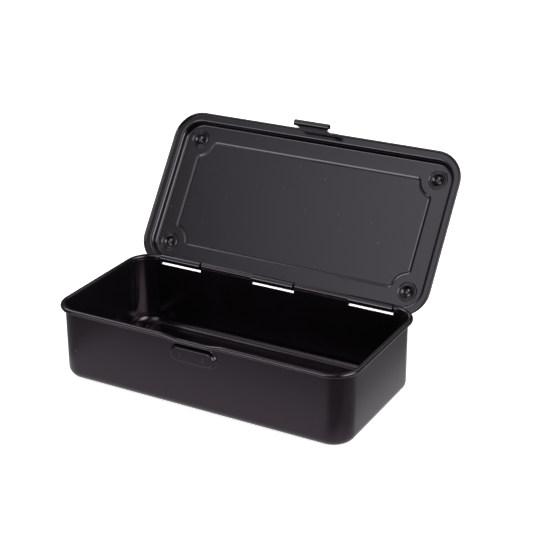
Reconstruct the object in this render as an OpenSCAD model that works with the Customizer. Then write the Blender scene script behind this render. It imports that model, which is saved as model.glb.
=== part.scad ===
// Small pressed-steel storage box with a hinged lid.
// Body and lid are two drawn pans of thin sheet. Tabs of the lid wrap round the body's curled rim
// through slots in the back wall, and a springy tongue snaps over two pips on the front.
// Frame: origin at the centre of the underside, +X along the length, -Y towards the latch, +Z up.
// The lid is drawn closed, with z = 0 at the height of the hinge axis, and is then swung open.

/* [Body] */
// Length of the body outside its walls
body_w = 194.2; // [188:0.1:200]
// Depth of the body outside its walls, front to back
body_d = 94.2; // [90:0.1:100]
// Outside radius of the upright corners
corner_r = 13.8; // [12:0.1:16]
// Outside radius between the walls and the bottom
bottom_r = 6; // [4:0.1:7]
// Thickness of the sheet
sheet_t = 0.6; // [0.5:0.05:0.7]

/* [Curled rim] */
// Height of the centre of the curl, which is also the hinge axis
rim_z = 46.4; // [40:0.1:60]
// Outside radius of the curl
curl_r = 1.6; // [1.5:0.05:1.8]
// Distance from the outside of the wall to the centre of the curl
curl_out = 1.3; // [1.2:0.05:1.4]

/* [Latch boss] */
// Overall length of the raised boss on the front
boss_l = 30.5; // [26:0.5:34]
// Overall height of the boss
boss_h = 10.7; // [9:0.1:11]
// Height of the centre of the boss above the table
boss_z = 36.9; // [36:0.1:37]
// How far the boss stands out of the front
boss_out = 2.6; // [2:0.1:2.7]
// Distance of each snap pip from the middle
pip_x = 7.9; // [6:0.1:9]
// Width of a snap pip
pip_w = 1.2; // [1:0.1:1.4]
// Height of a snap pip
pip_h = 2.5; // [2:0.1:3]

/* [Lid] */
// Length of the lid over its rolled edge
lid_w = 203; // [202.5:0.1:204]
// Depth of the lid over its rolled edge
lid_d = 105.2; // [105:0.1:105.4]
// Corner radius of the rolled edge
lid_r = 18.2; // [17.5:0.1:19]
// Width of the flat flange that rests on the rim
flange_w = 6.2; // [5.8:0.1:6.6]
// Inside height of the lid above the hinge axis
tray_h = 6.9; // [6:0.1:8]
// Inside radius between the lid's wall and its panel
tray_r = 1.5; // [1:0.1:2]
// Gap between the flange and the top of the curl
seat_gap = 0.08; // [0.05:0.01:0.1]
// Angle from closed to fully open
lid_open = 125.5; // [110:0.5:125.5]

/* [Lid pressings] */
// Distance of the stacking domes from the middle, along the length
dome_x = 85; // [83:0.1:86]
// Distance of the stacking domes from the middle, front to back
dome_y = 35.9; // [34:0.1:36.5]
// Radius of a dome's hollow at the panel
dome_r = 4; // [3.5:0.1:4.3]
// Height of a dome's hollow
dome_h = 2.1; // [1.6:0.1:2.4]
// Mean radius of the round gutter pressed about each dome
ring_r = 5.3; // [5.2:0.1:5.5]
// Half length of the panel's frame line, to its outer edge
frame_x = 84.1; // [82:0.1:85]
// Half depth of the frame line, to its outer edge
frame_y = 36; // [35:0.1:36.5]
// Width of the frame line
frame_w = 2; // [1.4:0.1:2.4]
// Radius of the frame's notch round each dome
notch_r = 10.6; // [9:0.1:11]
// Depth that the frame line and the gutters are pressed outwards
emboss_h = 0.4; // [0.2:0.05:0.45]

/* [Hinge tabs] */
// Distance between the centres of neighbouring tabs
tab_pitch = 67.6; // [60:0.1:70]
// Width of a tab
tab_w = 29.2; // [24:0.1:29.6]
// Width of the slots in the back wall
slot_w = 30.4; // [30.2:0.1:31]
// Height of the bottom edge of the slots
slot_z = 42.4; // [41:0.1:42.5]
// Inside radius of a tab's loop
loop_r = 2.08; // [2.06:0.01:2.1]

/* [Latch tongue] */
// Width of the tongue where it leaves the lid
tongue_root_w = 29.4; // [28:0.1:30]
// Width of the tongue's neck
neck_w = 20.2; // [18:0.1:22]
// Width of the finger curl
grip_w = 24.2; // [23:0.1:26]
// Depth of the centre of the finger curl below the hinge axis
grip_z = 9.8; // [9:0.1:10.5]
// Outside radius of the finger curl
grip_r = 2; // [1.8:0.1:2.1]
// Distance from the centre plane to the inside of the neck
neck_y = 51; // [50.8:0.05:51.2]

/* [Hidden] */
hinge_y = body_d / 2 + curl_out;      // hinge axis, at the centre of the back curl
flange_z = curl_r + seat_gap;         // underside of the flange over the hinge axis
hem_t = 2 * sheet_t;                  // the lid's edge is folded back on itself
hem_r = 1;                            // bend between the hem and the flange
rear_lip_z = 1.45;                    // bottom of the back edge, which stops the lid against the wall
rear_lip_x = 90;                      // half length of that cut-back edge
loop_off = flange_z - loop_r;         // the loop hangs this far below the hinge axis
tab_relief = 0.4;                     // gap beside each tab in the lid's back edge
tongue_gap = 0.25;                    // gap over the tongue at its flex line
strip_h = 3.5;                        // height of wall that is made with the rim
lap = 0.2;                            // overlap of that wall and the wall below
floor_in = bottom_r + 2;              // width of floor that is swept with the body's walls
panel_in = flange_w + tray_r + 2;     // width of panel that is swept with the lid's edge
flare_h = 2;                          // height over which the wall leans out to the curl
recess_r = 4.7;                       // hollow under the bottom that takes the dome of a lid below
recess_h = 2.4;                       // height of that hollow
curl_gap = 0.4;                       // the curl's free edge ends this far inside its centre
ring_half = 0.5;                      // half width of the gutter round a dome, on the inside
neck_drop = 0.6;                      // straight start of the tongue above its flare
roll_gap = 1.2;                       // opening of the finger curl
small_fn = 32;                        // facets of a full circle on the smallest rounds
past = 1;                             // how far a cut runs past the sheet
deep = 5;                             // height that clears a dome
wide = 10;                            // depth that clears the lid's rear edge
big = 300;                            // larger than any part
$fn = 96;

// Radius of the sphere whose cap has the base radius a and the height h
function cap_radius(a, h) = (a * a + h * h) / (2 * h);

// Sweeps a profile round a rounded rectangle. The profile's x runs outwards from the outline and its
// y runs up.
module sweep_round(w, d, r) {
    for (i = [0:3]) {
        sx = (i == 0 || i == 3) ? 1 : -1;
        sy = (i < 2) ? 1 : -1;
        translate([sx * (w / 2 - r), sy * (d / 2 - r), 0])
            rotate([0, 0, 90 * i])
                rotate_extrude(angle = 90) translate([r, 0]) children();
        out = (i % 2 == 0) ? w / 2 : d / 2;
        run = (i % 2 == 0) ? d - 2 * r : w - 2 * r;
        rotate([0, 0, 90 * i]) translate([out, 0, 0]) bar(run) children();
    }
}

// Extrudes a profile along Y, centred, with its x along X and its y along Z
module bar(run) {
    rotate([90, 0, 0]) linear_extrude(run, center = true) children();
}

// Flat sheet with round corners, which fills the middle of a pan
module plate(w, d, r) {
    linear_extrude(sheet_t) {
        square([w - 2 * r, d], center = true);
        square([w, d - 2 * r], center = true);
        for (sx = [-1, 1], sy = [-1, 1]) translate([sx * (w / 2 - r), sy * (d / 2 - r)]) circle(r);
    }
}

// Quarter of a sheet bend with its centre at the origin, in the quadrant given by the two signs
module bend(r_in, sx, sy) {
    intersection() {
        difference() {
            circle(r_in + sheet_t);
            circle(r_in);
        }
        translate([sx > 0 ? 0 : -big, sy > 0 ? 0 : -big]) square(big);
    }
}

// Bottom, bottom bend and wall up to the strip under the rim
module pan_profile() {
    translate([-floor_in, 0]) square([floor_in - bottom_r, sheet_t]);
    translate([-bottom_r, bottom_r]) bend(bottom_r - sheet_t, 1, -1);
    translate([-sheet_t, bottom_r]) square([sheet_t, rim_z - strip_h + lap - bottom_r]);
}

// Strip of wall that leans out to meet the curl, measured from the curl's height
module strip_profile() {
    lean = curl_out - curl_r + sheet_t;
    polygon([[-sheet_t, -strip_h], [0, -strip_h], [0, -flare_h], [lean, 0],
             [lean - sheet_t, 0], [-sheet_t, -flare_h]]);
}

// Curl of the rim, open between its free edge and the wall
module curl_profile() {
    translate([curl_out, 0]) difference() {
        circle(curl_r);
        circle(curl_r - sheet_t);
        polygon([[0, 0], [-curl_r - past, 0], [-curl_r - past, -curl_r - past],
                 [-curl_gap, -curl_r - past]]);
    }
}

// Carries a rim profile round the top of the body
module rim() {
    translate([0, 0, rim_z]) sweep_round(body_w, body_d, corner_r) children();
}

// Stadium-shaped block on the front wall, from y0 to y1
module boss_block(length, height, y0, y1) {
    r = height / 2;
    translate([0, y1, boss_z]) rotate([90, 0, 0]) linear_extrude(y1 - y0) {
        square([length - height, height], center = true);
        for (s = [-1, 1]) translate([s * (length / 2 - r), 0]) circle(r);
    }
}

// Upright snap pip on the face of the boss
module pip() {
    r = pip_w / 2;
    half = pip_h / 2 - r;
    translate([0, -body_d / 2 - boss_out, boss_z]) {
        translate([0, 0, -half]) cylinder(r = r, h = 2 * half, $fn = small_fn);
        for (s = [-1, 1]) translate([0, 0, s * half]) sphere(r, $fn = small_fn);
    }
}

// Places its children at the four stacking domes
module at_domes() {
    for (sx = [-1, 1], sy = [-1, 1]) translate([sx * dome_x, sy * dome_y, 0]) children();
}

// Part of a sphere above a level, where the cap over the base radius a has the height h
module cap(a, h, extra, level, top) {
    intersection() {
        translate([0, 0, h - cap_radius(a, h)]) sphere(cap_radius(a, h) + extra);
        translate([-big / 2, -big / 2, level]) cube([big, big, top]);
    }
}

module body_shell() {
    sweep_round(body_w, body_d, corner_r) pan_profile();
    plate(body_w - 2 * floor_in, body_d - 2 * floor_in, corner_r - floor_in);
    rim() strip_profile();
    boss_block(boss_l, boss_h, -body_d / 2 - boss_out, -body_d / 2 + sheet_t / 2);
    for (s = [-1, 1]) translate([s * pip_x, 0, 0]) pip();
    at_domes() cap(recess_r, recess_h, sheet_t, sheet_t / 2, deep);
}

module body_cuts() {
    boss_block(boss_l - 2 * sheet_t, boss_h - 2 * sheet_t,
               -body_d / 2 - boss_out + sheet_t, -body_d / 2 + past);
    at_domes() cap(recess_r, recess_h, 0, -past, deep);
    for (i = [-1:1]) translate([i * tab_pitch - slot_w / 2, body_d / 2 - past, slot_z])
        cube([slot_w, 2 * past, rim_z - slot_z + past]);
}

module body_pan() {
    color("#3f3a40") {
        difference() {
            body_shell();
            body_cuts();
        }
        rim() curl_profile();
    }
}

// Folded edge, flange, wall and panel of the lid, measured from its outline and the hinge axis
module lid_profile() {
    wall_x = sheet_t - flange_w;
    translate([-hem_t / 2, hem_t / 2]) intersection() {
        circle(hem_t / 2);
        translate([-big / 2, -big]) square(big);
    }
    translate([-hem_t, hem_t / 2]) square([hem_t, flange_z + sheet_t - hem_r - hem_t / 2]);
    translate([-hem_r, flange_z + sheet_t - hem_r]) intersection() {
        circle(hem_r);
        square(big);
    }
    translate([-hem_t, flange_z + sheet_t - hem_r]) square([hem_t - hem_r, hem_r]);
    translate([wall_x, flange_z]) square([-hem_t - wall_x, sheet_t]);
    translate([-flange_w, flange_z]) square([sheet_t, tray_h - tray_r - flange_z]);
    translate([-flange_w - tray_r, tray_h - tray_r]) bend(tray_r, 1, 1);
    translate([-panel_in, tray_h]) square([panel_in - flange_w - tray_r, sheet_t]);
}

// Rectangle with its corners notched by arcs round the domes
module notched_outline(half_x, half_y, r) {
    difference() {
        square([2 * half_x, 2 * half_y], center = true);
        for (sx = [-1, 1], sy = [-1, 1]) translate([sx * dome_x, sy * dome_y]) circle(r);
    }
}

// Frame line of the panel, as a flat band from z upwards
module frame_line(z, height) {
    translate([0, 0, z]) linear_extrude(height) difference() {
        notched_outline(frame_x, frame_y, notch_r);
        notched_outline(frame_x - frame_w, frame_y - frame_w, notch_r + frame_w);
    }
}

module lid_shell() {
    sweep_round(lid_w, lid_d, lid_r) lid_profile();
    translate([0, 0, tray_h]) plate(lid_w - 2 * panel_in, lid_d - 2 * panel_in, lid_r - panel_in);
    frame_line(tray_h + sheet_t / 2, sheet_t / 2 + emboss_h);
    translate([0, 0, tray_h]) at_domes() {
        cap(dome_r, dome_h, sheet_t, sheet_t / 2, deep);
        rotate_extrude() translate([ring_r - ring_half, sheet_t / 2])
            square([2 * ring_half + sheet_t / 2, sheet_t / 2 + emboss_h]);
    }
}

module lid_cuts() {
    frame_line(tray_h - past, past + emboss_h / 2);
    translate([0, 0, tray_h]) at_domes() {
        cap(dome_r, dome_h, 0, -past, deep);
        rotate_extrude() translate([ring_r - ring_half, -past]) square([2 * ring_half, past + emboss_h / 2]);
    }
    translate([-rear_lip_x, hinge_y + past, -past]) cube([2 * rear_lip_x, wide, rear_lip_z + past]);
    for (i = [-1:1]) translate([i * tab_pitch - tab_w / 2 - tab_relief, hinge_y - loop_off, -past])
        cube([tab_w + 2 * tab_relief, wide, deep]);
}

// Swings what is drawn closed to the fully open rest position
module swing_open() {
    translate([0, hinge_y, rim_z]) rotate([-lid_open, 0, 0]) translate([0, -hinge_y, 0]) children();
}

module lid_pan() {
    color("#4a454c") swing_open() difference() {
        lid_shell();
        lid_cuts();
    }
}

// Tab that leaves the flange over the hinge axis and loops round the curl for three quarters of a turn
module hinge_tab(i) {
    color("#57525a") swing_open()
        translate([i * tab_pitch, hinge_y - loop_off, loop_off]) rotate([0, 0, 90]) bar(tab_w)
            difference() {
                circle(loop_r + sheet_t);
                circle(loop_r);
                translate([-big, 0]) square(big);
            }
}

module hinge_tab_left() {
    hinge_tab(-1);
}

module hinge_tab_centre() {
    hinge_tab(0);
}

module hinge_tab_right() {
    hinge_tab(1);
}

// Front view of the tongue's flat part: wide at the lid, narrow at the neck, wider at the curl
module tongue_outline() {
    flare_r = (tongue_root_w - neck_w) / 2;
    foot_r = (grip_w - neck_w) / 2;
    difference() {
        translate([-tongue_root_w / 2, -grip_z]) square([tongue_root_w, grip_z - tongue_gap]);
        for (s = [-1, 1]) {
            translate([s * tongue_root_w / 2, -flare_r - neck_drop]) circle(flare_r);
            translate([s * tongue_root_w / 2 - flare_r, -grip_z + foot_r])
                square([2 * flare_r, grip_z - foot_r - flare_r - neck_drop]);
            translate([s * (grip_w / 2 + big / 2), -grip_z + foot_r]) square([big, 2 * foot_r], center = true);
            translate([s * grip_w / 2, -grip_z + foot_r]) circle(foot_r);
        }
    }
}

module latch_tongue() {
    color("#5f5a61") swing_open() {
        translate([0, -neck_y, 0]) rotate([90, 0, 0]) linear_extrude(sheet_t) tongue_outline();
        translate([0, -neck_y - grip_r, -grip_z]) rotate([0, 0, 90]) bar(grip_w) difference() {
            circle(grip_r);
            circle(grip_r - sheet_t);
            polygon([[0, 0], [grip_r + past, 0], [grip_r + past, grip_r + past],
                     [roll_gap, grip_r + past]]);
        }
    }
}

body_pan();
lid_pan();
hinge_tab_left();
hinge_tab_centre();
hinge_tab_right();
latch_tongue();
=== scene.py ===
"""Small black storage box of drawn sheet steel with a hinged lid, open and set up for a studio picture.

Every size is in millimetres until a mesh is made, and the lid's pieces are drawn closed, with their
height counted from the hinge axis, and then swung open to the rest position.
"""

from __future__ import annotations

import logging
import math
from collections.abc import Callable, Iterator, Sequence
from contextlib import contextmanager
from dataclasses import dataclass, field
from enum import Enum

import bmesh
import bpy
from mathutils import Matrix, Vector
from mathutils.geometry import delaunay_2d_cdt


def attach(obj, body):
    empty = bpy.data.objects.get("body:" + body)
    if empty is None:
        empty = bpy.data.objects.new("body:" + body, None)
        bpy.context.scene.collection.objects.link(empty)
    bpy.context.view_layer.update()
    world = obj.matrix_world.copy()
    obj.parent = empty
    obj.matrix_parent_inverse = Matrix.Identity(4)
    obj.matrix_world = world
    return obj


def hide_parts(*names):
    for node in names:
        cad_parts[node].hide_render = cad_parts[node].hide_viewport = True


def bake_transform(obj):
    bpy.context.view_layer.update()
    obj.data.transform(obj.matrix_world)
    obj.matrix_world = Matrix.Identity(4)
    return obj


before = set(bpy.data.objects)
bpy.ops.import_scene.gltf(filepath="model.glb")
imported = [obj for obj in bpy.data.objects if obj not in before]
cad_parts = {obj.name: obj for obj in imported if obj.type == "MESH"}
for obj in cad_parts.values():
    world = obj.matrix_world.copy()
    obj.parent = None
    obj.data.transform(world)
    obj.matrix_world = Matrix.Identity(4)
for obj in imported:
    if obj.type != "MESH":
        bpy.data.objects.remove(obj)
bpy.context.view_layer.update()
MM = 0.001
LOG = logging.getLogger("storage_box")

Pair = tuple[float, float]
Relief = Callable[[float, float], float]


# ---------------------------------------------------------------- node trees


class Field:
    """One value in a node tree, so that a rule can be written as plain arithmetic."""

    def __init__(self, tree: bpy.types.NodeTree, socket: bpy.types.NodeSocket) -> None:
        """Wraps an output socket of a tree."""
        self.tree = tree
        self.socket = socket

    def op(self, operation: str, *others: Field | float) -> Field:
        """Adds one Math node.

        Args:
            operation: The Math node's operation.
            others: The second and third operands.

        Returns:
            The node's output.
        """
        node = self.tree.nodes.new("ShaderNodeMath")
        node.operation = operation
        for slot, value in zip(node.inputs, (self, *others)):
            feed(self.tree, slot, value)
        return Field(self.tree, node.outputs[0])

    def __add__(self, other: Field | float) -> Field:
        """Sum."""
        return self.op("ADD", other)

    def __sub__(self, other: Field | float) -> Field:
        """Difference."""
        return self.op("SUBTRACT", other)

    def __mul__(self, other: Field | float) -> Field:
        """Product."""
        return self.op("MULTIPLY", other)

    def __truediv__(self, other: Field | float) -> Field:
        """Quotient."""
        return self.op("DIVIDE", other)

    def __neg__(self) -> Field:
        """Negative."""
        return self.op("MULTIPLY", -1.0)

    def size(self) -> Field:
        """Absolute value."""
        return self.op("ABSOLUTE")

    def at_least(self, other: Field | float) -> Field:
        """The larger of the two."""
        return self.op("MAXIMUM", other)

    def with_side(self, other: Field) -> Field:
        """Length of the hypotenuse over two sides."""
        return (self * self + other * other).op("SQRT")

    def ramp(self, start: Field | float, end: Field | float) -> Field:
        """Smooth step from 0 at start to 1 at end."""
        node = self.tree.nodes.new("ShaderNodeMapRange")
        node.interpolation_type = "SMOOTHSTEP"
        for slot, value in zip(node.inputs, (self, start, end, 0.0, 1.0)):
            feed(self.tree, slot, value)
        return Field(self.tree, node.outputs[0])


def feed(tree: bpy.types.NodeTree, slot: bpy.types.NodeSocket, value: object) -> None:
    """Links a field or a socket to an input, or sets the input's own value.

    Args:
        tree: The tree that holds the input.
        slot: The input.
        value: A field, an output socket or a plain value.
    """
    if isinstance(value, Field):
        tree.links.new(value.socket, slot)
    elif isinstance(value, bpy.types.NodeSocket):
        tree.links.new(value, slot)
    else:
        slot.default_value = value


def add_node(
    tree: bpy.types.NodeTree,
    kind: str,
    inputs: dict[str | int, object] | None = None,
    **settings: object,
) -> bpy.types.Node:
    """Adds a node, with its settings made before its inputs are fed.

    Args:
        tree: The tree that gets the node.
        kind: The node's type.
        inputs: Values for its inputs, by name or number.
        settings: Values for its own properties.

    Returns:
        The node.
    """
    node = tree.nodes.new(kind)
    for key, value in settings.items():
        setattr(node, key, value)
    for key, value in (inputs or {}).items():
        feed(tree, node.inputs[key], value)
    return node


class RuleTree:
    """A Geometry Nodes tree under construction, with named inputs for its sizes."""

    def __init__(self, name: str) -> None:
        """Starts a tree that takes a geometry in and puts one out."""
        self.tree = bpy.data.node_groups.new(name, "GeometryNodeTree")
        face = self.tree.interface
        face.new_socket(name="Geometry", in_out="INPUT", socket_type="NodeSocketGeometry")
        face.new_socket(name="Geometry", in_out="OUTPUT", socket_type="NodeSocketGeometry")
        self.entry = self.tree.nodes.new("NodeGroupInput")
        self.values: dict[str, object] = {}

    def take(self, name: str, kind: str, value: object) -> bpy.types.NodeSocket:
        """Adds a named input.

        Args:
            name: The input's name.
            kind: Float, Int, Object or Material.
            value: What the modifier passes to it.

        Returns:
            The socket that carries it inside the tree.
        """
        item = self.tree.interface.new_socket(
            name=name, in_out="INPUT", socket_type=f"NodeSocket{kind}"
        )
        self.values[item.identifier] = value
        return self.entry.outputs[name]

    def length(self, name: str, millimetres: float) -> Field:
        """Adds a named length, given in millimetres."""
        return Field(self.tree, self.take(name, "Float", millimetres * MM))

    def node(
        self, kind: str, inputs: dict[str | int, object] | None = None, **settings: object
    ) -> bpy.types.Node:
        """Adds a node."""
        return add_node(self.tree, kind, inputs, **settings)

    def place(self) -> tuple[Field, Field, Field]:
        """The three coordinates of each point."""
        position = self.node("GeometryNodeInputPosition")
        split = self.node("ShaderNodeSeparateXYZ", {0: position.outputs[0]})
        return tuple(Field(self.tree, s) for s in split.outputs)

    def shift(
        self,
        geometry: bpy.types.NodeSocket,
        y: Field | float = 0.0,
        z: Field | float = 0.0,
    ) -> bpy.types.NodeSocket:
        """Moves points in y and z by two rules."""
        offset = self.node("ShaderNodeCombineXYZ", {1: y, 2: z})
        moved = self.node("GeometryNodeSetPosition", {"Geometry": geometry, "Offset": offset.outputs[0]})
        return moved.outputs[0]

    def close(self, geometry: bpy.types.NodeSocket, material: bpy.types.Material) -> None:
        """Ends the tree with Realize Instances and Set Material."""
        real = self.node("GeometryNodeRealizeInstances", {0: geometry})
        paint = self.take("Paint", "Material", material)
        dressed = self.node("GeometryNodeSetMaterial", {"Geometry": real.outputs[0], "Material": paint})
        exit_node = self.tree.nodes.new("NodeGroupOutput")
        self.tree.links.new(dressed.outputs[0], exit_node.inputs[0])

    def run(self, mesh: bpy.types.Mesh) -> bpy.types.Mesh:
        """Runs the tree on a mesh.

        Args:
            mesh: The mesh that the tree starts from.

        Returns:
            A plain mesh of what comes out.
        """
        holder = bpy.data.objects.new(f"{self.tree.name}_holder", mesh)
        bpy.context.scene.collection.objects.link(holder)
        rule = holder.modifiers.new(self.tree.name, "NODES")
        rule.node_group = self.tree
        for identifier, value in self.values.items():
            rule[identifier] = value
        return settle(holder)


def settle(holder: bpy.types.Object) -> bpy.types.Mesh:
    """Makes a plain mesh of an object and its modifiers, and removes the object.

    Args:
        holder: The object, which is in the scene.

    Returns:
        The finished mesh.
    """
    graph = bpy.context.evaluated_depsgraph_get()
    graph.update()
    mesh = bpy.data.meshes.new_from_object(holder.evaluated_get(graph), depsgraph=graph)
    bpy.data.objects.remove(holder)
    return mesh


# ---------------------------------------------------------------- sheet work


@contextmanager
def editing(mesh: bpy.types.Mesh) -> Iterator[bmesh.types.BMesh]:
    """Opens a mesh for editing, and writes it back with its normals turned outwards.

    Args:
        mesh: The mesh to change.

    Yields:
        The editable copy.
    """
    work = bmesh.new()
    work.from_mesh(mesh)
    yield work
    bmesh.ops.recalc_face_normals(work, faces=work.faces)
    work.to_mesh(mesh)
    work.free()


def arc(cx: float, cy: float, radius: float, start: float, end: float, steps: int) -> list[Pair]:
    """Points along an arc, with both its ends.

    Args:
        cx: Centre, first coordinate.
        cy: Centre, second coordinate.
        radius: Radius.
        start: Angle of the first point in degrees.
        end: Angle of the last point in degrees.
        steps: Number of steps.

    Returns:
        The points.
    """
    turns = [math.radians(start + (end - start) * i / steps) for i in range(steps + 1)]
    return [(cx + radius * math.cos(a), cy + radius * math.sin(a)) for a in turns]


def spread(start: float, end: float, step: float) -> list[float]:
    """Evenly spaced values from start to end, no further apart than step."""
    count = max(1, math.ceil(abs(end - start) / step - 1e-6))
    return [start + (end - start) * i / count for i in range(count + 1)]


def stops(*runs: Sequence[float]) -> list[float]:
    """Joins several runs of values into one sorted run without doubles."""
    return sorted({round(v, 4) for run in runs for v in run})


@dataclass(frozen=True)
class Outline:
    """Rounded rectangle that the profile of a pan is carried round.

    Attributes:
        width: Size along x.
        depth: Size along y.
        radius: Corner radius.
        front: Places of the columns along the front edge.
        back: Places of the columns along the back edge.
        side_step: Largest distance between columns along the ends.
        corner_steps: Number of columns round each corner.
    """

    width: float
    depth: float
    radius: float
    front: tuple[float, ...]
    back: tuple[float, ...]
    side_step: float = 12.0
    corner_steps: int = 22

    def columns(self) -> list[tuple[Pair, Pair]]:
        """(point, outward direction) of each column, anticlockwise from the front left."""
        a = self.width / 2 - self.radius
        b = self.depth / 2 - self.radius
        sides = spread(-b, b, self.side_step)[1:-1]
        found: list[tuple[Pair, Pair]] = []

        def corner(sx: int, sy: int, start: float) -> None:
            for c, s in arc(0, 0, 1, start, start + 90, self.corner_steps):
                point = (sx * a + self.radius * c, sy * b + self.radius * s)
                found.append((point, (c, s)))

        found += [((x, -self.depth / 2), (0.0, -1.0)) for x in self.front]
        corner(1, -1, -90)
        found += [((self.width / 2, y), (1.0, 0.0)) for y in sides]
        corner(1, 1, 0)
        found += [((x, self.depth / 2), (0.0, 1.0)) for x in reversed(self.back)]
        corner(-1, 1, 90)
        found += [((-self.width / 2, -y), (-1.0, 0.0)) for y in sides]
        corner(-1, -1, 180)
        return found

    def sweep(self, name: str, profile: Sequence[Pair], material: bpy.types.Material) -> bpy.types.Mesh:
        """Carries a profile round the outline with Geometry Nodes.

        Args:
            name: Name of the tree.
            profile: (distance outwards, height) of each row.
            material: Finish of the sheet.

        Returns:
            A strip of sheet surface that closes on itself.
        """
        columns = self.columns()
        path = bpy.data.meshes.new(f"{name}_path")
        path.from_pydata([(x * MM, y * MM, 0) for (x, y), _ in columns], [], [])
        outward = path.attributes.new("outward", "FLOAT_VECTOR", "POINT")
        for item, (_, (x, y)) in zip(outward.data, columns):
            item.vector = (x, y, 0)
        rows = bpy.data.meshes.new(f"{name}_rows")
        rows.from_pydata([(x * MM, z * MM, 0) for x, z in profile], [], [])
        rows_holder = bpy.data.objects.new(f"{name}_rows", rows)

        rule = RuleTree(name)
        profile_in = rule.node(
            "GeometryNodeObjectInfo", {"Object": rule.take("Profile", "Object", rows_holder)}
        )
        around = rule.take("Columns", "Int", len(columns))
        along = rule.take("Rows", "Int", len(profile))
        full = Field(rule.tree, around)
        tall = Field(rule.tree, along) - 1.0
        grid = rule.node(
            "GeometryNodeMeshGrid",
            {"Size X": full, "Size Y": tall, "Vertices X": full + 1.0, "Vertices Y": along},
        )
        x, y, _ = rule.place()
        column = (x + full / 2.0 + 0.5).op("FLOOR").op("MODULO", full)
        row = (y + tall / 2.0 + 0.5).op("FLOOR")

        def look_up(source: bpy.types.NodeSocket, value: bpy.types.NodeSocket, index: Field) -> Field:
            sample = rule.node(
                "GeometryNodeSampleIndex",
                {"Geometry": source, "Value": value, "Index": index},
                data_type="FLOAT_VECTOR",
                domain="POINT",
            )
            return sample.outputs["Value"]

        where = rule.node("GeometryNodeInputPosition").outputs[0]
        attribute = rule.node(
            "GeometryNodeInputNamedAttribute", {"Name": "outward"}, data_type="FLOAT_VECTOR"
        )
        start = look_up(rule.entry.outputs[0], where, column)
        away = look_up(rule.entry.outputs[0], attribute.outputs[0], column)
        step = rule.node(
            "ShaderNodeSeparateXYZ", {0: look_up(profile_in.outputs["Geometry"], where, row)}
        )
        reach = rule.node(
            "ShaderNodeVectorMath", {0: away, "Scale": step.outputs[0]}, operation="SCALE"
        )
        flat = rule.node("ShaderNodeVectorMath", {0: start, 1: reach.outputs[0]}, operation="ADD")
        lift = rule.node("ShaderNodeCombineXYZ", {2: step.outputs[1]})
        total = rule.node("ShaderNodeVectorMath", {0: flat.outputs[0], 1: lift.outputs[0]}, operation="ADD")
        placed = rule.node(
            "GeometryNodeSetPosition", {"Geometry": grid.outputs["Mesh"], "Position": total.outputs[0]}
        )
        joined = rule.node(
            "GeometryNodeMergeByDistance", {"Geometry": placed.outputs[0], "Distance": 1e-6}
        )
        rule.close(joined.outputs[0], material)
        mesh = rule.run(path)
        bpy.data.objects.remove(rows_holder)
        return mesh


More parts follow.
